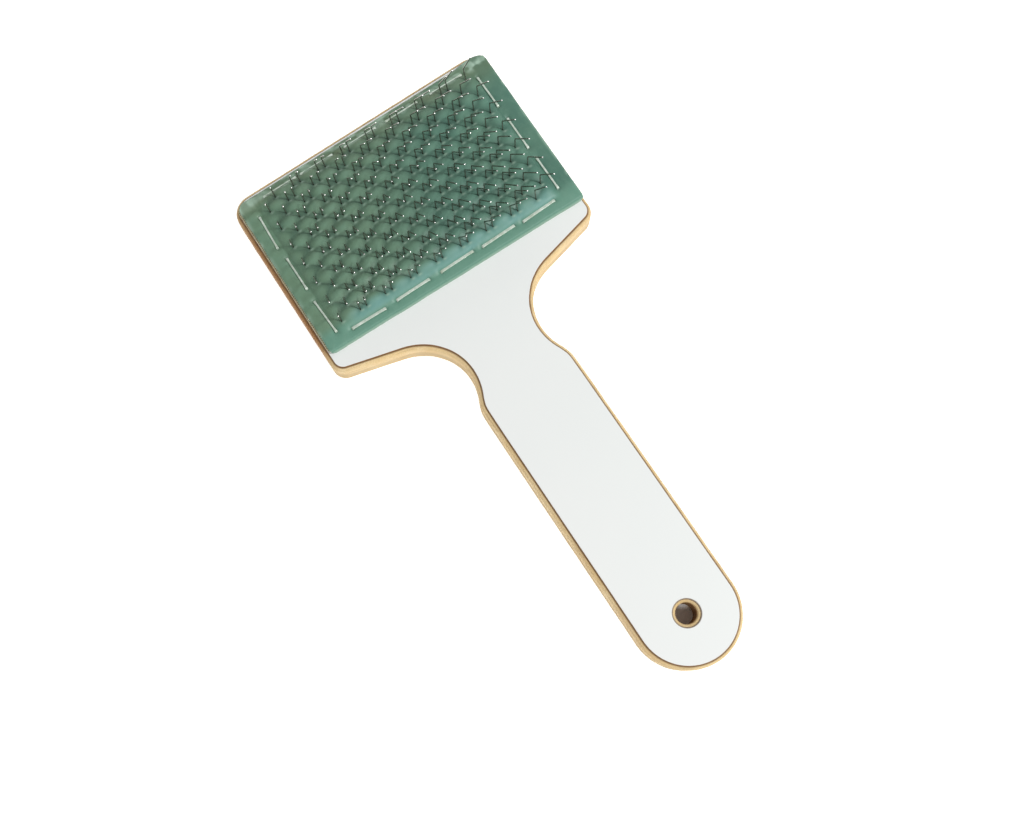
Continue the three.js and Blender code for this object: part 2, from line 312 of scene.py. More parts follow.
def make_materials():
    out = {}
    # fibreboard: fine short fibres, mottled tan, a scorched line beside the faces and darker burns where the cutter
    # dwelt; down the hanging hole's bore the burn and scorch masks also carry painted shade, and the rim's lower part
    # has a painted shade band
    m = Mat("fibreboard")
    v = m.coord()
    fibre = m.noise(2600, 4, 0.65, m.coord((1, 1, 2.2)))
    cloud = m.noise(170, 3, 0.55, v)
    speck = m.noise(5200, 2, 0.6, v)
    layer = m.noise(1.0, 3, 0.6, m.coord((70, 70, 900)))
    base = m.ramp(fibre, [(0.28, srgb(206, 176, 124)), (0.5, srgb(229, 204, 156)), (0.74, srgb(242, 222, 182))])
    base = m.mix(m.ramp(cloud, [(0.35, 0.0), (0.7, 0.5)]), base, srgb(212, 176, 112))
    base = m.mix(m.ramp(layer, [(0.52, 0.0), (0.66, 0.42)]), base, srgb(178, 150, 106))
    base = m.mix(m.ramp(speck, [(0.66, 0.0), (0.78, 0.5)]), base, srgb(150, 112, 66))
    # laser burns on the head's left side and in spots, plus painted shade down the hole's bore
    base = m.mix(m.math("MULTIPLY", m.attr("burn_and_bore_shade"), m.ramp(fibre, [(0.3, 0.55), (0.7, 1.0)])), base, srgb(152, 93, 40))
    # painted shade: a darker band on the lower part of the rim
    base = m.mix(m.attr("lower_rim_shade"), base, srgb(172, 148, 108))
    # the laser line beside both faces, plus a painted shade ring down the hole's bore
    base = m.mix(m.attr("scorch_and_bore_shade"), base, srgb(104, 70, 36))
    m.set(Base_Color=base, Roughness=m.ramp(fibre, [(0.3, 0.62), (0.7, 0.82)]), Normal=m.bump(fibre, 0.35, 0.0002))
    out["core"] = m.m
    # white facing: smooth satin, faint orange peel, dark cut edge
    m = Mat("white_facing")
    v = m.coord()
    peel = m.noise(900, 2, 0.5, v)
    cloud = m.noise(28, 3, 0.5, v)
    base = m.mix(m.ramp(cloud, [(0.3, 0.0), (0.75, 1.0)]), srgb(234, 236, 234), srgb(231, 234, 232))
    base = m.mix(m.attr("scorch_and_bore_shade"), base, srgb(130, 94, 54))
    m.set(Base_Color=base, Roughness=m.ramp(cloud, [(0.3, 0.34), (0.7, 0.42)]), Normal=m.bump(peel, 0.05, 0.0001))
    m.b.inputs["Specular IOR Level"].default_value = 0.35
    out["white"] = m.m
    # rubber face
    m = Mat("teal_rubber")
    v = m.coord()
    cloud = m.noise(45, 4, 0.55, v, 0.4)
    small = m.noise(420, 4, 0.6, v)
    grit = m.noise(3000, 2, 0.5, v)
    base = m.mix(m.ramp(cloud, [(0.32, 0.0), (0.68, 1.0)]), srgb(74, 118, 104), srgb(92, 132, 112))
    base = m.mix(m.math("MULTIPLY", m.attr("warm"), m.ramp(cloud, [(0.3, 1.0), (0.8, 0.7)])), base, srgb(108, 136, 109))
    # painted sheen: the smooth strip along the bottom staples is lighter, and bluer in its middle
    base = m.mix(m.attr("low_strip_sheen"), base, srgb(102, 147, 128))
    base = m.mix(m.attr("low_strip_blue_sheen"), base, srgb(101, 151, 143))
    base = m.mix(m.ramp(small, [(0.45, 0.0), (0.8, 0.35)]), base, srgb(114, 154, 134))
    # painted highlight: lighter on the tops of the bulges
    base = m.mix(m.attr("bulge_highlight"), base, srgb(118, 156, 136))
    # darker olive tone towards the top rows
    base = m.mix(m.attr("top_darkening"), base, srgb(99, 114, 84))
    # painted shade: dark around each leg, in the valleys between the bulges, along the staples and on the drawn-down
    # bottom edge
    base = m.mix(m.attr("recess_shade"), base, srgb(44, 74, 63))
    # painted highlights on the lip below each foot and along the cut edges, with paler patches near the top corners
    base = m.mix(m.attr("pale_and_highlight"), base, srgb(162, 190, 170))
    m.set(Base_Color=base, Roughness=m.ramp(small, [(0.3, 0.42), (0.7, 0.56)]),
          Normal=m.bump(grit, 0.06, 0.0001, m.bump(small, 0.12, 0.0006)))
    m.b.inputs["Specular IOR Level"].default_value = 0.42
    m.b.inputs["Coat Weight"].default_value = 0.10
    m.b.inputs["Coat Roughness"].default_value = 0.35
    out["rubber"] = m.m
    # woven backing
    m = Mat("card_cloth")
    wx, wy = (m.node("ShaderNodeTexWave", wave_type="BANDS", bands_direction=d) for d in ("X", "Y"))
    for w in (wx, wy):
        w.inputs["Scale"].default_value = 420
        w.inputs["Distortion"].default_value = 0.6
        w.inputs["Detail"].default_value = 1.5
        m.link(m.coord(), w.inputs["Vector"])
    weave = m.math("MAXIMUM", wx.outputs["Fac"], wy.outputs["Fac"])
    base = m.mix(m.ramp(weave, [(0.2, 0.0), (0.9, 1.0)]), srgb(150, 138, 104), srgb(208, 198, 162))
    base = m.mix(m.ramp(m.noise(300, 3), [(0.4, 0.0), (0.8, 0.5)]), base, srgb(128, 160, 136))
    m.set(Base_Color=base, Roughness=0.9, Normal=m.bump(weave, 0.5, 0.0002))
    m.b.inputs["Sheen Weight"].default_value = 0.2
    out["cloth"] = m.m
    # foam
    m = Mat("foam")
    vo = m.node("ShaderNodeTexVoronoi")
    vo.inputs["Scale"].default_value = 1400
    m.link(m.coord(), vo.inputs["Vector"])
    base = m.mix(m.ramp(vo.outputs["Distance"], [(0.0, 0.0), (0.6, 1.0)]), srgb(168, 160, 130), srgb(214, 208, 184))
    m.set(Base_Color=base, Roughness=0.95, Normal=m.bump(vo.outputs["Distance"], 0.6, 0.0003))
    out["foam"] = m.m
    # pin wire: drawn steel, dull along its length; its cut ends are painted near-white as a painted highlight
    m = Mat("pin_wire")
    draw = m.noise(900, 3, 0.6, m.coord((1, 1, 0.12)))
    base = m.mix(m.ramp(draw, [(0.3, 0.0), (0.7, 1.0)]), srgb(112, 112, 102), srgb(156, 156, 144))
    # painted highlight: the cut ends nearly white
    base = m.mix(m.attr("tip_glint"), base, srgb(250, 250, 246))
    m.set(Base_Color=base, Roughness=m.ramp(draw, [(0.3, 0.24), (0.7, 0.4)]), Metallic=0.9)
    out["wire"] = m.m
    # staple wire
    m = Mat("staple_wire")
    draw = m.noise(700, 3, 0.6, m.coord((1, 1, 1)))
    tint = m.noise(160, 3, 0.6, m.coord())
    base = m.mix(m.ramp(draw, [(0.3, 0.0), (0.75, 1.0)]), srgb(192, 210, 194), srgb(226, 235, 225))
    base = m.mix(m.ramp(tint, [(0.5, 0.0), (0.75, 0.55)]), base, srgb(160, 176, 146))
    m.set(Base_Color=base, Roughness=m.ramp(draw, [(0.3, 0.3), (0.7, 0.5)]), Metallic=0.3, Normal=m.bump(draw, 0.15, 0.0001))
    out["staple"] = m.m
    return out


M = make_materials()

# ------------------------------------------------------------------ board
edge_noise = Noise2(5)


def arc(cx, cz, r, a0, a1, n):
    return [(cx + r * math.cos(math.radians(a)), cz + r * math.sin(math.radians(a))) for a in np.linspace(a0, a1, n)]


Z0c, Z1c = LAM_T, BOARD_T - LAM_T
core_profile = (arc(0, Z0c + ROUND, ROUND, -77.6, 0, 9) + [(ROUND, z) for z in np.linspace(Z0c + ROUND, Z1c - ROUND, 8)[1:-1]]
                + arc(0, Z1c - ROUND, ROUND, 0, 77.6, 9))
core_hole = [(4.05, Z0c)] + arc(4.2, Z0c + 1.0, 1.0, 260, 180, 7)[0:] + [(HOLE_R, z) for z in np.linspace(Z0c + 1.0, Z1c - 1.0, 6)[1:-1]] \
    + arc(4.2, Z1c - 1.0, 1.0, 180, 100, 7) + [(4.05, Z1c)]
core_hole = sorted({(round(r, 4), round(z, 4)) for r, z in core_hole}, key=lambda q: q[1])
core = slab("fibreboard_core", core_profile, core_hole, [M["core"]],
            waver=lambda s, z: 0.035 * edge_noise(s / 3.0, np.full_like(s, z * 0.8)) + 0.02 * edge_noise(s / 0.9 + 50, np.full_like(s, z * 2)))
co = coords(core)
head_left = smoothstep(-45.5, -47.2, co[:, 0]) * smoothstep(118 + Y0, 132 + Y0, co[:, 1]) * (1 - 0.55 * smoothstep(168 + Y0, 186 + Y0, co[:, 1]))
spots = np.clip(edge_noise(co[:, 0] / 6 + 9, co[:, 1] / 11 + 3) * 0.9 - 0.25, 0, 1) * 0.5
# the bore: laser burn on the hole's wall, made darker below the top as painted shade
bore = np.clip(1 - np.abs(np.hypot(co[:, 0], co[:, 1] - Y0) - HOLE_R) / 0.35, 0, 1)
set_attr(core, "burn_and_bore_shade", np.clip(head_left * 0.95 + spots * 0.6 + bore * 0.9 * smoothstep(8.6, 7.8, co[:, 2]), 0, 1))
zt = co[:, 2]
# painted shade: the rim's lower part is darker
set_attr(core, "lower_rim_shade", 0.55 * smoothstep(6.4, 4.2, zt) * smoothstep(0.9, 2.6, zt) * (0.8 + 0.3 * edge_noise(co[:, 0] / 4 + 30, co[:, 1] / 4 + 8)))
# the laser line beside both faces, plus a painted shade ring down the hole's bore
set_attr(core, "scorch_and_bore_shade", np.clip(smoothstep(Z1c - 0.16, Z1c - 0.02, zt) + smoothstep(Z0c + 0.3, Z0c + 0.02, zt), 0, 1) * 0.85
         * (1 - 0.75 * smoothstep(8, 6, np.hypot(co[:, 0], co[:, 1] - Y0)))
         + 0.55 * np.clip(1 - np.abs(np.hypot(co[:, 0], co[:, 1] - Y0) - HOLE_R) / 0.2, 0, 1) * smoothstep(8.2, 7.0, zt))
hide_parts("board_core")
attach(core, "brush")


def facing(name, z0, z1, up, node):
    if up:
        prof = [(0.3, z0), (0.12, z0 + 0.3), (0.0, z1 - 0.06), (-0.06, z1 - 0.015), (-0.14, z1)]
        hole = [(4.05, z0), (4.28, z0 + 0.3), (4.42, z1 - 0.06), (4.47, z1 - 0.015), (4.54, z1)]
    else:
        prof = [(-0.14, z0), (-0.06, z0 + 0.015), (0.0, z0 + 0.06), (0.12, z1 - 0.3), (0.3, z1)]
        hole = [(4.47, z0), (4.4, z0 + 0.015), (4.35, z0 + 0.06), (4.25, z1 - 0.3), (4.05, z1)]
    ob = slab(name, prof, hole, [M["white"]])
    c = coords(ob)
    flat = z1 if up else z0
    in_hole = smoothstep(8, 6, np.hypot(c[:, 0], c[:, 1] - Y0))
    set_attr(ob, "scorch_and_bore_shade", smoothstep(0.008, 0.05, np.abs(c[:, 2] - flat)) * (1 - 0.35 * in_hole))
    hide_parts(node)
    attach(ob, "brush")
    return ob


facing("front_facing", BOARD_T - LAM_T, BOARD_T, True, "front_laminate")
facing("back_facing", 0.0, LAM_T, False, "back_laminate")

# ------------------------------------------------------------------ the pad's surface
LEGS = []  # (row, x, y of the row from the hole)
for i in range(ROWS):
    for k in range(PAIRS):
        c = STAGGER[i % 2] + (k - (PAIRS - 1) / 2) * PAIR_PITCH
        for s in (-1, 1):
            LEGS.append((i, c + s * WIRE_CROWN / 2, ROW_TOP - i * ROW_PITCH))
LEG_XY = np.array([(x, y) for _, x, y in LEGS])

# staples: name, centre, direction in degrees from X
STAPLES = []
for side, xs, ys, turn in (("left", (-42.1, -41.65, -41.5), (169.6, 152.9, 135.9), (-92.6, -89.8, -87.0)),
                           ("right", (42.1, 42.2, 42.4), (171.5, 154.1, 137.4), (-89.8, -90.6, -90.1))):
    for i, y in enumerate(ys):
        STAPLES.append((f"staple_{side}_{i + 1}", xs[i], y, turn[i]))
for side, ys, xs, turn in (("top", (180.9, 181.0, 181.1, 181.2, 181.3), (-31.2, -17.3, -0.7, 15.1, 32.2), (0.6, 0.4, 1.2, 0.8, 0.4)),
                           ("bottom", (127.75, 128.1, 128.3, 128.2, 128.2), (-30.4, -13.9, 2.5, 17.9, 33.1), (-0.6, 1.2, 1.4, 1.8, 2.6))):
    for i, x in enumerate(xs):
        STAPLES.append((f"staple_{side}_{i + 1}", x, ys[i], turn[i]))
ST_HALF = 6.05


def staple_ends(s):
    _, x, y, a = s
    d = np.array([math.cos(math.radians(a)), math.sin(math.radians(a))]) * ST_HALF
    return np.array([x, y]) - d, np.array([x, y]) + d


n_big, n_mid, n_fine = Noise2(11), Noise2(12), Noise2(13)


def pad_left(y):
    return -46.25 + 0.10 * n_mid(y / 6.0, 0.5 + 0 * y) + 0.06 * n_fine(y / 1.7, 3.5 + 0 * y)


def pad_right(y):
    return 48.12 + 0.25 * (y - 154.0) / 30.0 + 0.05 * n_mid(y / 7.0, 9.5 + 0 * y) + 0.04 * n_fine(y / 1.9, 7.5 + 0 * y)


def pad_low(x):
    return 124.3 - 0.1 * (x - 1.0) / 46.5 + 0.12 * n_mid(x / 9.0, 21.5 + 0 * x) + 0.05 * n_fine(x / 1.6, 27.5 + 0 * x)


def pad_high(x):
    return 183.65 + 0.55 * (x - 1.0) / 46.5 + 0.75 * smoothstep(36.0, 42.5, x) - 1.2 * smoothstep(44.2, 48.6, x) - 1.2 * smoothstep(-44.0, -46.6, x) \
        + 0.06 * n_mid(x / 6.0, 31.5 + 0 * x) + 0.05 * n_fine(x / 1.8, 37.5 + 0 * x)


def edge_distance(x, y):
    return np.minimum(np.minimum(x - pad_left(y), pad_right(y) - x), np.minimum(y - pad_low(x), pad_high(x) - y))


def base_height(x, y):
    """Top of the rubber before its dimples; y from the hole."""
    t = (y - ROW_MID) / CROWN_HALF
    u = (x - 0.4) / 41.2
    cr = (CROWN + 0.3) * np.clip(1 - np.abs(t) ** 4, 0, None) * np.clip(1 - np.abs(u) ** 18, 0, None)
    d = edge_distance(x, y)
    rim = BOARD_T + T_RUB + T_CLOTH + 0.02
    h = rim + (SURF0 - rim) * smoothstep(0.0, 3.6, d) + cr
    h = h + 0.12 * n_big(x / 16.0, y / 14.0) * smoothstep(1.0, 6.0, d)
    # the right-hand edge hangs a little over the board's rounded edge
    return h - 0.35 * smoothstep(46.3, 48.3, x) ** 1.5


QX0 = (STAGGER[0] + STAGGER[1] + PAIR_PITCH / 2) / 2


def pillow(x, y):
    """The cushion bulges in diamonds between the places where neighbouring wires pull it in: 0 in the valleys, 1 on top."""
    x = x + 0.8 * n_mid(x / 5.0 + 11, y / 5.0 + 5)
    y = y + 0.5 * n_mid(x / 4.0 + 31, y / 4.0 + 45)
    u, v = (x - QX0) / PAIR_PITCH, (y - ROW_TOP) / (2 * ROW_PITCH)
    return (np.sin(np.pi * (u + v)) ** 2 * np.sin(np.pi * (u - v)) ** 2 + 1e-9) ** 0.5


def quilted(x, y):
    """How much the rubber is under the pins' pull, fading towards the staples."""
    return smoothstep(-41.6, -36.0, x) * smoothstep(42.6, 37.6, x) * smoothstep(129.6, 133.2, y) * smoothstep(181.4, 177.6, y)


def quilt(x, y):
    amp = 0.40 + 0.24 * n_big(x / 11.0 + 60, y / 11.0 + 20)
    return quilted(x, y) * (0.16 - amp * (1 - pillow(x, y)))


def leg_dimples(x, y):
    dim = np.zeros_like(x)
    for lx, ly in LEG_XY:
        m = (np.abs(x - lx) < 6) & (np.abs(y - ly) < 6)
        r = np.hypot(x[m] - lx, y[m] - ly + 0.1)
        dim[m] += (0.20 * np.exp(-r / 0.7) + 0.14 * np.exp(-r / 1.6)) * (1 - smoothstep(4.5, 6.0, r))
        # the rubber stands up in a small lip on the side that the wire pulls against
        dim[m] -= 0.13 * np.exp(-(((x[m] - lx - 0.4) * 0.6) ** 2 + (y[m] - ly + 0.95) ** 2) / 0.2)
    return dim


def staple_press(x, y):
    p = np.zeros_like(x)
    for s in STAPLES:
        a, b = staple_ends(s)
        ab = b - a
        m = np.hypot(x - (a[0] + b[0]) / 2, y - (a[1] + b[1]) / 2) < 13
        xm, ym = x[m], y[m]
        tt = np.clip(((xm - a[0]) * ab[0] + (ym - a[1]) * ab[1]) / (ab @ ab), 0, 1)
        ds = np.hypot(xm - a[0] - ab[0] * tt, ym - a[1] - ab[1] * tt)
        v = 0.30 * np.exp(-(ds / 0.60) ** 2) + 0.20 * np.exp(-(ds / 1.7) ** 2)
        for e in (a, b):
            v = v + 0.26 * np.exp(-(np.hypot(xm - e[0], ym - e[1]) / 0.9) ** 2)
        p[m] += v
    return p


FOLDS = [((ax - (1.2 if ax < -30 else 0), ay + (0.9 if ay > 175 else 0)), (bx - (1.2 if bx < -30 else 0), by + (0.9 if by > 175 else 0)), am, w)
         for (ax, ay), (bx, by), am, w in [((45.0, 133.2), (46.6, 127.6), 0.22, 0.5), ((45.4, 168.5), (46.4, 150.5), 0.10, 0.8), ((45.2, 150.0), (45.9, 139.5), 0.07, 0.7),
         ((-37.2, 181.9), (-38.4, 176.6), 0.20, 0.38), ((-35.4, 182.0), (-35.9, 178.6), 0.13, 0.32), ((-39.6, 182.3), (-39.2, 177.3), 0.17, 0.36),
         ((-41.9, 182.0), (-40.6, 178.2), 0.16, 0.36), ((-44.2, 179.6), (-41.4, 177.2), 0.12, 0.4), ((-44.4, 177.2), (-42.6, 175.8), 0.10, 0.35),
         ((-24.6, 182.4), (-24.3, 179.6), 0.09, 0.5), ((-9.3, 182.4), (-9.1, 179.8), 0.08, 0.55), ((7.1, 182.3), (7.0, 179.9), 0.08, 0.5),
         ((23.6, 182.3), (23.4, 179.8), 0.08, 0.5)]]


def rubber_top(x, y):
    d = edge_distance(x, y)
    h = base_height(x, y) + quilt(x, y) - leg_dimples(x, y) - staple_press(x, y)
    for (ax, ay), (bx, by), amp, w in FOLDS:
        ex, ey = bx - ax, by - ay
        tt = np.clip(((x - ax) * ex + (y - ay) * ey) / (ex * ex + ey * ey), 0, 1)
        ds = np.hypot(x - ax - ex * tt, y - ay - ey * tt)
        h = h + amp * np.sin(np.pi * np.clip(tt, 0.08, 0.92)) ** 0.5 * (np.exp(-(ds / w) ** 2) - 0.45 * np.exp(-(ds / (1.9 * w)) ** 2))
    h = h + 0.014 * n_fine(x / 0.9, y / 0.9) + 0.03 * n_mid(x / 2.8, y / 2.8)
    h = h - 0.32 * np.exp(-(np.clip(d, 0, None) / 0.2))
    # along the handle side the cut edge is drawn down onto the facing
    low = np.clip(y - pad_low(x), 0, None)
    return h - (h - (BOARD_T + 0.46)) * (1 - smoothstep(0.0, 1.0, low)) ** 1.5


def rubber_low(x, y):
    return np.minimum(base_height(x, y) + quilt(x, y) - 0.6 * leg_dimples(x, y) - T_RUB, rubber_top(x, y) - 0.42)


def sheet_mesh(name, nx, ny, top, thick, grow, mats):
    """A sheet on the pad's outline: top(x, y) is its upper surface, thick its thickness; grow moves its cut edge outwards."""
    s, t = np.linspace(0, 1, nx), np.linspace(0, 1, ny)
    # closer lines at the rim
    f = lambda q: q + 0.012 * np.sin(2 * math.pi * q) * -1
    s, t = f(s), f(t)
    S, T = np.meshgrid(s, t)
    x = PAD_X0 + (PAD_X1 - PAD_X0) * S
    y = PAD_Y0 + (PAD_Y1 - PAD_Y0) * T
    for _ in range(3):
        xl, xr = pad_left(y) - grow[0], pad_right(y) + grow[1]
        yb, yt = pad_low(x) - grow[2], pad_high(x) + grow[3]
        x = xl + (xr - xl) * S
        y = yb + (yt - yb) * T
    # round the corners a little
    for cx, cy in ((0, 0), (1, 0), (0, 1), (1, 1)):
        qx = np.abs(S - cx) * (PAD_X1 - PAD_X0)
        qy = np.abs(T - cy) * (PAD_Y1 - PAD_Y0)
        pull = np.clip(0.9 - np.hypot(qx, qy) * 0.55, 0, None) * 0.45
        x = x + (pull if cx == 0 else -pull)
        y = y + (pull if cy == 0 else -pull)
    z = top(x, y)
    n = nx * ny
    up = np.c_[x.ravel(), y.ravel() + Y0, z.ravel()]
    lowz = z - thick if np.isscalar(thick) else thick(x, y)
    dn = np.c_[x.ravel(), y.ravel() + Y0, lowz.ravel()]
    idx = np.arange(n).reshape(ny, nx)
    a, b, c, d = idx[:-1, :-1].ravel(), idx[:-1, 1:].ravel(), idx[1:, 1:].ravel(), idx[1:, :-1].ravel()
    faces = list(zip(a, b, c, d)) + list(zip(n + d, n + c, n + b, n + a))
    rim = list(idx[0, :-1]) + list(idx[:-1, -1]) + list(idx[-1, :0:-1]) + list(idx[:0:-1, 0])
    for k, v in enumerate(rim):
        w = rim[(k + 1) % len(rim)]
        faces.append((v, n + v, n + w, w))
    ob = new_object(name, np.vstack([up, dn]), faces, mats=mats)
    return ob


def row_frame(i):
    """Where the row's legs leave the rubber, and how far the row leans away from the handle."""
    y = ROW_TOP - i * ROW_PITCH
    t = (y - ROW_MID) / CROWN_HALF
    return y, SURF0 + CROWN * (1 - t**4), math.radians(ROW_LEAN[i])


def to_row(i, p):
    """A point given beside the row's surface line (x, along Y, up) in the frame of the part."""
    y, z, tilt = row_frame(i)
    c, s = math.cos(tilt), math.sin(tilt)
    return np.array([p[0], y + Y0 + p[1] * c + p[2] * s, z - p[1] * s + p[2] * c])


LEAN = KNEE_Y / KNEE_UP
CROWN_DEPTH = 1.95  # middle of the wires' hidden crowns below the surface


def leg_cutters(name, half_x, half_y):
    """Long holes round each leg: room for the wire to rock in the rubber."""
    verts, faces = [], []
    for i, lx, ly in LEGS:
        base = len(verts)
        ring = []
        for k in range(14):
            a = 2 * math.pi * k / 14
            ring.append((half_x * math.cos(a), half_y * math.sin(a)))
        for up in (-4.0, 3.0):
            for dx, dy in ring:
                verts.append(to_row(i, (lx + FAN_X * lx * 0.4 / TIP_UP * up / KNEE_UP + dx, LEAN * up + dy, up)))
        faces.append(tuple(base + k for k in range(13, -1, -1)))
        faces.append(tuple(base + 14 + k for k in range(14)))
        for k in range(14):
            q = (k + 1) % 14
            faces.append((base + k, base + q, base + 14 + q, base + 14 + k))
    return new_object(name, verts, faces, smooth=False)


def apply_modifiers(ob):
    dg = bpy.context.evaluated_depsgraph_get()
    me = bpy.data.meshes.new_from_object(ob.evaluated_get(dg))
    ob.modifiers.clear()
    old = ob.data
    ob.data = me
    bpy.data.meshes.remove(old)


def pierce(ob, cutter):
    m = ob.modifiers.new("holes", "BOOLEAN")
    m.operation, m.object, m.solver = "DIFFERENCE", cutter, "MANIFOLD"
    apply_modifiers(ob)


rubber = sheet_mesh("rubber_pad_face", 330, 212, rubber_top, rubber_low, (0, 0, 0, 0), [M["rubber"]])
cloth = sheet_mesh("woven_backing", 220, 142,
                   lambda x, y: rubber_low(x, y) - 0.02,
                   lambda x, y: np.minimum(np.maximum(BOARD_T + 0.02, rubber_low(x, y) - 0.02 - T_CLOTH), rubber_low(x, y) - 0.14),
                   (0.5, -0.05, -1.0, 0.32), [M["cloth"]])
cutter = leg_cutters("cutter", 0.25, 0.43)
for ob in (rubber, cloth):
    pierce(ob, cutter)
    ob.data.polygons.foreach_set("use_smooth", [True] * len(ob.data.polygons))
    ob.data.set_sharp_from_angle(angle=math.radians(50))
bpy.data.objects.remove(cutter)
co = coords(rubber)
x, y = co[:, 0], co[:, 1] - Y0
r_near, lip = np.full(len(x), 9.0), np.full(len(x), 9.0)
for lx, ly in LEG_XY:
    r_near = np.minimum(r_near, np.hypot(x - lx, y - ly))
    lip = np.minimum(lip, np.hypot((x - lx - 0.4) * 0.6, (y - ly + 0.95) * 1.2))
low_side = smoothstep(0.15, 0.5, rubber_top(x, y) - co[:, 2])
pil, qul = pillow(x, y), quilted(x, y)
# painted shade: around each leg, in the valleys between bulges, along the staples and on the drawn-down bottom edge
set_attr(rubber, "recess_shade", np.clip(np.exp(-(r_near / 0.9) ** 2) * 0.35 + 0.52 * qul * (1 - pil) ** 1.5 + 0.45 * smoothstep(0.3, 0.75, staple_press(x, y))
                                 + 0.9 * low_side * smoothstep(125.5, 127.0, y) + 0.17 * smoothstep(39.0, 44.0, x) * smoothstep(126.0, 131.0, y), 0, 1))
# painted highlight on the tops of the bulges
set_attr(rubber, "bulge_highlight", np.clip(0.26 * qul * pil**2.0 * (0.75 + 0.5 * n_mid(x / 4 + 70, y / 4 + 3)), 0, 1))
set_attr(rubber, "warm", np.clip(smoothstep(22, -22, x + (155 - y) * 0.25) + 0.5 * smoothstep(168, 178, y), 0, 1) * smoothstep(124, 133, y) * 0.9)
# painted sheen on the strip along the bottom staples, bluer in its middle
set_attr(rubber, "low_strip_sheen", np.clip(smoothstep(133.5, 128.5, y) + 0.15 * n_mid(x / 7, y / 3), 0, 1) * 0.95)
set_attr(rubber, "low_strip_blue_sheen", np.clip(smoothstep(128.2, 129.4, y) * smoothstep(133.6, 131.0, y) * smoothstep(-37, -31, x) * smoothstep(42, 37, x), 0, 1)
         * (0.8 + 0.2 * n_mid(x / 5, y / 2)))
d_edge = edge_distance(x, y)
# darker olive tone towards the top rows
set_attr(rubber, "top_darkening", np.clip(smoothstep(173.5, 181.0, y) * (0.6 + 0.4 * n_mid(x / 5, y / 3)), 0, 1) * 0.8)
# painted highlights below each foot and along the cut edges, with paler patches near the top corners
set_attr(rubber, "pale_and_highlight", np.clip(0.55 * np.exp(-(lip / 0.42) ** 2) + smoothstep(1.3, 0.2, d_edge) * (0.12 + 0.45 * n_mid(x / 2.2, y / 2.2)) * smoothstep(126.0, 133.0, y)
                                 + 0.55 * smoothstep(179.2, 181.4, y) * smoothstep(-0.1, 0.5, n_mid(x / 2.6 + 40, y / 1.4)) * smoothstep(184.0, 182.8, y)
                                 + 0.7 * smoothstep(0.55, 0.1, d_edge) * smoothstep(126.0, 125.0, y)
                                 + 0.4 * smoothstep(-38.5, -42.5, x) * smoothstep(178.0, 181.0, y)
                                 + 0.6 * smoothstep(38.5, 41.0, x) * smoothstep(46.5, 45.0, x) * smoothstep(180.5, 181.8, y) * smoothstep(-0.2, 0.5, n_mid(x / 1.1 + 80, y / 1.3)), 0, 1))

# the cushion under the cloth: open-cell foam with sides that pull in, hollowed where the wires' crowns rest
fx, fy = np.linspace(-40.2, 40.2, 120), np.linspace(ROW_MID - 25.4, ROW_MID + 25.4, 80)
FX, FY = np.meshgrid(fx, fy)


def foam_top(x, y):
    t, u = (y - ROW_MID) / CROWN_HALF, (x - 0.4) / 41.2
    cr = CROWN * np.clip(1 - np.abs(t) ** 4, 0, None) * np.clip(1 - np.abs(u) ** 18, 0, None)
    h = SURF0 + cr - CROWN_DEPTH - 0.45 + 0.15 * np.cos(2 * np.pi * (y - ROW_TOP) / ROW_PITCH + np.pi)
    return np.maximum(h, BOARD_T + 0.12)


edge = np.minimum(np.minimum(FX - fx[0], fx[-1] - FX), np.minimum(FY - fy[0], fy[-1] - FY))
FZ = foam_top(FX, FY) - 0.25 * np.exp(-edge / 0.5)
FZ = np.maximum(FZ, BOARD_T + 0.06)
nf = FX.size
up = np.c_[FX.ravel(), FY.ravel() + Y0, FZ.ravel()]
dn = np.c_[FX.ravel() * 0.998, (FY.ravel() - ROW_MID) * 0.998 + ROW_MID + Y0, np.full(nf, BOARD_T + 0.01)]
idx = np.arange(nf).reshape(FX.shape)
a, b, c, d = idx[:-1, :-1].ravel(), idx[:-1, 1:].ravel(), idx[1:, 1:].ravel(), idx[1:, :-1].ravel()
faces = list(zip(a, b, c, d)) + list(zip(nf + d, nf + c, nf + b, nf + a))
rim = list(idx[0, :-1]) + list(idx[:-1, -1]) + list(idx[-1, :0:-1]) + list(idx[:0:-1, 0])
for k, v in enumerate(rim):
    w = rim[(k + 1) % len(rim)]
    faces.append((v, nf + v, nf + w, w))
foam = new_object("foam_cushion_pad", np.vstack([up, dn]), faces, mats=[M["foam"]])

for ob, node, slot_name in ((rubber, "rubber_face", "teal_rubber"), (cloth, "card_foundation", "card_cloth"), (foam, "foam_cushion", "foam")):
    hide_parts(node)
    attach(ob, "brush")


# ------------------------------------------------------------------ swept wires
def fillet(points, radii, steps):
    """A polyline with its corners rounded."""
    p = [np.array(q, float) for q in points]
    out = [p[0]]
    for k in range(1, len(p) - 1):
        r, n = radii[k - 1], steps[k - 1]
        u, v = p[k - 1] - p[k], p[k + 1] - p[k]
        lu, lv = np.linalg.norm(u), np.linalg.norm(v)
        u, v = u / lu, v / lv
        half = math.acos(max(-1, min(1, float(u @ v)))) / 2
        t = min(r / math.tan(half), 0.48 * lu, 0.48 * lv)
        r = t * math.tan(half)
        centre = p[k] + (u + v) / np.linalg.norm(u + v) * (r / math.sin(half))
        e1 = (p[k] + u * t - centre) / r
        e2 = (p[k] + v * t - centre) / r
        ang = math.acos(max(-1, min(1, float(e1 @ e2))))
        for s in np.linspace(0, 1, n + 1):
            out.append(centre + r * (math.sin((1 - s) * ang) * e1 + math.sin(s * ang) * e2) / math.sin(ang))
    out.append(p[-1])
    return np.array(out)


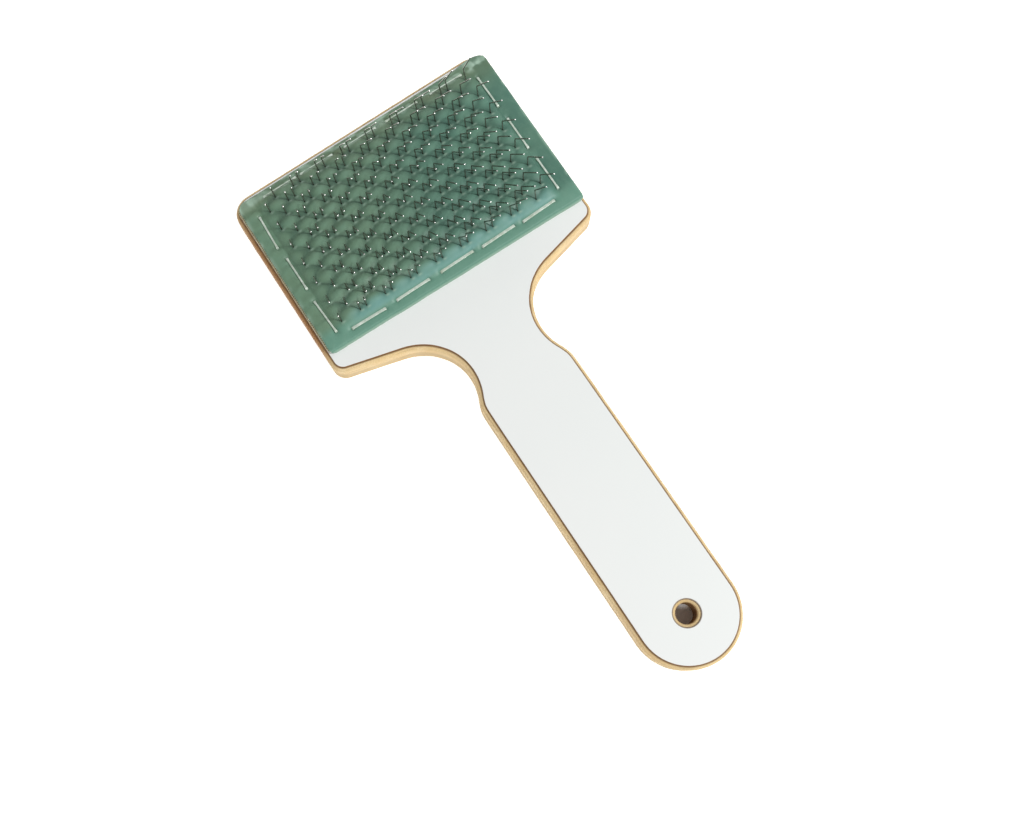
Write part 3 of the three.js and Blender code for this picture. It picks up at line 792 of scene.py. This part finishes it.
def resample(line, step):
    """More points along the long straight stretches, so that colours can change there."""
    out = [line[0]]
    for a, b in zip(line[:-1], line[1:]):
        n = max(1, int(math.ceil(np.linalg.norm(b - a) / step)))
        for k in range(1, n + 1):
            out.append(a + (b - a) * k / n)
    return np.array(out)


def sweep(line, section, scales, normal0):
    """Closed tube: section points (n, 2) carried along the line without twisting. scales: one factor for each ring."""
    t = np.gradient(line, axis=0)
    t /= np.linalg.norm(t, axis=1)[:, None]
    n = np.array(normal0, float)
    verts = []
    for k in range(len(line)):
        n = n - t[k] * (n @ t[k])
        n /= np.linalg.norm(n)
        b = np.cross(t[k], n)
        verts.append(line[k] + (section[:, :1] * n + section[:, 1:] * b) * scales[k])
    m = len(section)
    verts = np.vstack(verts)
    faces = []
    for k in range(len(line) - 1):
        for i in range(m):
            j = (i + 1) % m
            faces.append((k * m + i, k * m + j, (k + 1) * m + j, (k + 1) * m + i))
    faces.append(tuple(range(m - 1, -1, -1)))
    faces.append(tuple((len(line) - 1) * m + i for i in range(m)))
    return verts, faces


SIDES = 12
WIRE_RV = 0.195
ROUND_SECTION = np.c_[np.cos(np.arange(SIDES) / SIDES * 2 * np.pi), np.sin(np.arange(SIDES) / SIDES * 2 * np.pi)] * WIRE_RV
wrng = np.random.RandomState(77)

for i in range(ROWS):
    verts, faces, tip_glints = [], [], []
    y_row, z_row, tilt = row_frame(i)
    for k in range(PAIRS):
        c = STAGGER[i % 2] + (k - (PAIRS - 1) / 2) * PAIR_PITCH
        pts = []
        for s in (-1, 1):
            x = c + s * WIRE_CROWN / 2
            jx, jy, jz = wrng.normal(0, 0.10), wrng.normal(0, 0.12), wrng.normal(0, 0.05)
            if i == 0:  # in the first row only the pins at the right-hand end stand up straight
                jy -= 2.5 * float(smoothstep(36, 22, x))
                jz -= 0.9 * float(smoothstep(36, 22, x))
            kx = FAN_X * x * 0.4 / TIP_UP
            leg = [(x, -LEAN * CROWN_DEPTH, -CROWN_DEPTH), (x + kx + jx * 0.1, KNEE_Y, KNEE_UP + jz * 0.5),
                   (x + FAN_X * x + jx, TIP_Y + jy, TIP_UP - 0.12 + jz * 0.6)]
            pts.append(leg)
        (l0, l1, l2), (r0, r1, r2) = pts
        line = fillet([l2, l1, l0, r0, r1, r2], [1.5, 0.55, 0.55, 1.5], [8, 6, 6, 8])
        line = resample(line, 1.6)
        # short steps at both ends carry the cut ends, whose rings take the painted highlight
        def tip_end(q):
            d = (q[1] - q[0]) / np.linalg.norm(q[1] - q[0])
            return np.vstack([q[0], q[0] + d * 0.05, q[0] + d * 0.30, q[0] + d * 0.42, q[1:]])
        line = tip_end(line)
        line = tip_end(line[::-1])[::-1]
        line = np.array([to_row(i, q) for q in line])
        scales = np.ones(len(line))
        scales[[0, -1]] = 0.72
        v, f = sweep(line, ROUND_SECTION, scales, (0, 1, 0.3))
        base = sum(len(q) for q in verts)
        verts.append(v)
        faces += [tuple(base + q for q in face) for face in f]
        # the painted highlight covers the last three rings at each end
        tip_glint = np.zeros(len(line))
        tip_glint[:3] = 1
        tip_glint[-3:] = 1
        tip_glints.append(np.repeat(tip_glint, SIDES))
    name = "pin_wires_%02d" % (i + 1)
    ob = new_object(name, np.vstack(verts), faces, mats=[M["wire"]])
    ob.data.set_sharp_from_angle(angle=math.radians(50))
    set_attr(ob, "tip_glint", np.concatenate(tip_glints))
    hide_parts("pin_row_%02d" % (i + 1))
    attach(ob, "pins_%02d" % (i + 1))

# ------------------------------------------------------------------ staples
def rounded_rect(w, h, r, n=3):
    out = []
    for cx, cy, a0 in ((w / 2 - r, h / 2 - r, 0), (-w / 2 + r, h / 2 - r, 90), (-w / 2 + r, -h / 2 + r, 180), (w / 2 - r, -h / 2 + r, 270)):
        for k in range(n + 1):
            a = math.radians(a0 + 90 * k / n)
            out.append((cx + r * math.cos(a), cy + r * math.sin(a)))
    return np.array(out)


srng = np.random.RandomState(31)
for s in STAPLES:
    name, x, y, turn = s
    wide = 0.90 if "bottom" in name else 0.62
    sec = rounded_rect(wide, 0.42, 0.13)
    h = ST_HALF + 0.02
    top = 11.10
    dz = srng.uniform(-0.03, 0.05)
    pts = [(-h, 0, 5.2), (-h, 0, top - 0.01), (0, 0, top + 0.05 + dz), (h, 0, top + dz * 0.5), (h, 0, 5.2)]
    line = resample(fillet(pts, [0.42, 8.0, 0.42], [7, 4, 7]), 1.2)
    a = math.radians(turn)
    rot = np.array([[math.cos(a), -math.sin(a), 0], [math.sin(a), math.cos(a), 0], [0, 0, 1]])
    line = line @ rot.T + [x, y + Y0, 0]
    across = rot @ np.array([0, 1, 0])
    d0 = np.array([0, 0, -1.0])
    line = np.vstack([line[0] + d0 * 0.55, line, line[-1] + d0 * 0.55])
    scales = np.ones(len(line))
    scales[[0, -1]] = 0.25
    end = np.exp(-((ST_HALF - np.abs((line - [x, y + Y0, 0]) @ np.array([math.cos(a), math.sin(a), 0]))) / 0.55) ** 2)
    scales = scales * (1 + (0.12 if "bottom" in name else 0.5) * end * smoothstep(top - 1.0, top - 0.2, line[:, 2]))
    v, f = sweep(line, sec, scales, across)
    ob = new_object(name.replace("staple", "staple_wire"), v, f, mats=[M["staple"]])
    ob.data.set_sharp_from_angle(angle=math.radians(45))
    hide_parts(name)
    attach(ob, "brush")

# ------------------------------------------------------------------ floor, light, camera
floor_mat = Mat("floor_white")
soft = floor_mat.noise(3.0, 2, 0.5)
floor_mat.set(Base_Color=floor_mat.mix(floor_mat.ramp(soft, [(0.3, 0.0), (0.7, 1.0)]), (0.93, 0.93, 0.93, 1), (0.95, 0.95, 0.95, 1)), Roughness=0.8)
floor_mat.b.inputs["Emission Color"].default_value = (1, 1, 1, 1)
# the floor's glow keeps it plain white around the brush; it is left out under the hanging hole, a painted shade that
# keeps the floor seen through the hole dark
c = floor_mat.node("ShaderNodeTexCoord")
away = floor_mat.node("ShaderNodeVectorMath", operation="DISTANCE")
floor_mat.link(c.outputs["Object"], away.inputs[0])
away.inputs[1].default_value = (0, Y0 * MM, 0)
glow = floor_mat.node("ShaderNodeMapRange", interpolation_type="SMOOTHSTEP")
for k, v in enumerate((0.005, 0.008, 0.0, 0.62)):
    glow.inputs[k + 1].default_value = v
floor_mat.link(away.outputs["Value"], glow.inputs[0])
floor_mat.link(glow.outputs[0], floor_mat.b.inputs["Emission Strength"])
bm = bmesh.new()
bmesh.ops.create_grid(bm, x_segments=8, y_segments=8, size=3.0)
me = bpy.data.meshes.new("floor")
bm.to_mesh(me)
bm.free()
floor = bpy.data.objects.new("floor", me)
floor.location = (0, 0, -0.00005)
me.materials.append(floor_mat.m)
bpy.context.scene.collection.objects.link(floor)

world = bpy.data.worlds.new("studio")
bpy.context.scene.world = world
world.use_nodes = True
world.node_tree.nodes["Background"].inputs["Color"].default_value = (1, 1, 1, 1)
world.node_tree.nodes["Background"].inputs["Strength"].default_value = 0.26


def area(name, direction, dist, size, power, aim=(0, 0.02, 0.01), colour=(1, 1, 1)):
    li = bpy.data.lights.new(name, "AREA")
    li.shape = "DISK"
    li.size = size
    li.energy = power
    li.color = colour
    ob = bpy.data.objects.new(name, li)
    d = Vector(direction).normalized()
    ob.location = Vector(aim) + d * dist
    ob.rotation_mode = "QUATERNION"
    ob.rotation_quaternion = (-d).to_track_quat("-Z", "Y")
    bpy.context.scene.collection.objects.link(ob)
    return ob


area("key", (0.64, -0.46, 1.0), 1.3, 0.19, 9.6, aim=(0, 0.06, 0.01))
area("second", (-0.40, -0.70, 1.0), 1.3, 0.23, 5.1, aim=(0, 0.06, 0.01))
area("rim", (0.3, 1.0, 0.8), 0.9, 0.5, 0.8)

cam_data = bpy.data.cameras.new("camera")
cam = bpy.data.objects.new("camera", cam_data)
bpy.context.scene.collection.objects.link(cam)
X = Vector((0.8415010974, -0.5384344070, -0.0443203391))
Y = Vector((-0.5368028776, -0.8240455689, -0.1810844305))
Z = Vector((0.0609801090, 0.1761740325, -0.9824683896))
cam.matrix_world = Matrix.Translation(Vector((-0.058100, -0.067709, 0.321675))) @ Matrix((X, -Y, -Z)).transposed().to_4x4()
cam_data.sensor_fit = "HORIZONTAL"
cam_data.sensor_width = 36.0
cam_data.lens = 1049.3236 / 1024 * 36.0
cam_data.shift_x = (512 - 442) / 1024
cam_data.shift_y = -(409.5 - 479.5) / 1024
cam_data.clip_start, cam_data.clip_end = 0.01, 20
bpy.context.scene.camera = cam
bpy.context.scene.view_settings.view_transform = "Standard"

bpy.context.view_layer.update()
